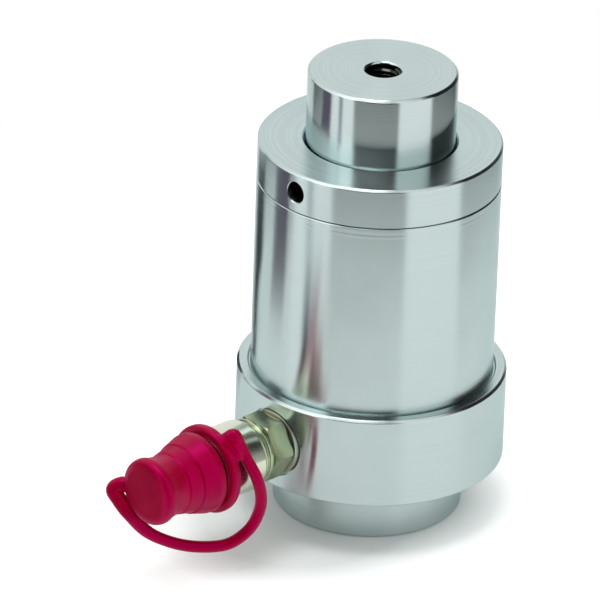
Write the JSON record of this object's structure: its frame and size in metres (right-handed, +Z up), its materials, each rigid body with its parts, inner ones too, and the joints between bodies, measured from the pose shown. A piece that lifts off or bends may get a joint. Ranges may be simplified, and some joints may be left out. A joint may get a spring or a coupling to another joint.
{
  "type": "hydraulic cylinder",
  "caption": "Single-acting spring-return hydraulic cylinder with a tapped ram, a thick port collar, a round foot and a side coupling nipple under a tethered dust cap.",
  "frame": {"origin": "centre of the foot's bottom face", "axes": "+Z up the ram's axis, -X out along the coupling, +Y towards the strap's end on the cap"},
  "size_m": [0.167, 0.1, 0.1745],
  "materials": {
    "machined_steel": "satin turned",
    "ground_steel": "fine ground",
    "plain_steel": "plain machined",
    "spring_steel": "drawn wire",
    "zinc_plate": "yellow-green zinc plate",
    "washer_zinc": "dull zinc plate",
    "nickel_plate": "bright nickel plate",
    "black_rubber": "smooth rubber",
    "seal_polyurethane": "smooth polyurethane",
    "guide_strip": "filled plastic strip",
    "red_plastic": "soft moulded plastic"
  },
  "bodies": {
    "body": {"cylinder_body": "machined_steel", "gland_nut": "machined_steel", "ram_guide_ring": "guide_strip", "rod_seal": "seal_polyurethane", "wiper_ring": "seal_polyurethane", "gland_o_ring": "black_rubber", "spring_rod": "plain_steel", "rod_nut": "washer_zinc", "spring_washer": "washer_zinc", "return_spring": "spring_steel", "coupling_adapter": "zinc_plate", "seal_washer": "washer_zinc", "seal_rubber": "black_rubber", "nipple_body": "nickel_plate", "nipple_o_ring": "black_rubber", "poppet_spring": "spring_steel"},
    "ram": {"ram": "ground_steel", "piston": "plain_steel", "piston_seal": "seal_polyurethane", "piston_backup_ring": "guide_strip", "piston_guide_ring": "guide_strip", "spring_seat": "plain_steel"},
    "poppet": {"poppet": "plain_steel", "poppet_seal": "black_rubber"},
    "tether": {"tether_ring": "red_plastic", "tether_strap": "red_plastic"},
    "cap": {"dust_cap": "red_plastic"}
  },
  "joints": [
    {"name": "ram_slide", "type": "slide", "parent": "body", "child": "ram", "axis": [0, 0, 1], "range_m": [0, 0.05], "stiffness_N_per_m": 9500, "springref_m": -0.012, "deforming": ["return_spring"]},
    {"name": "poppet_slide", "type": "slide", "parent": "body", "child": "poppet", "axis": [1, 0, 0], "range_m": [0, 0.003], "stiffness_N_per_m": 2000, "springref_m": -0.004, "deforming": ["poppet_spring"]},
    {"name": "tether_swivel", "type": "hinge", "parent": "body", "child": "tether", "pos_m": [-0.0825, 0, 0.0385], "axis": [-1, 0, 0], "continuous": true},
    {"name": "cap_pull", "type": "slide", "parent": "tether", "child": "cap", "axis": [-1, 0, 0], "range_m": [0, 0.035], "deforming": ["tether_strap"]}
  ]
}
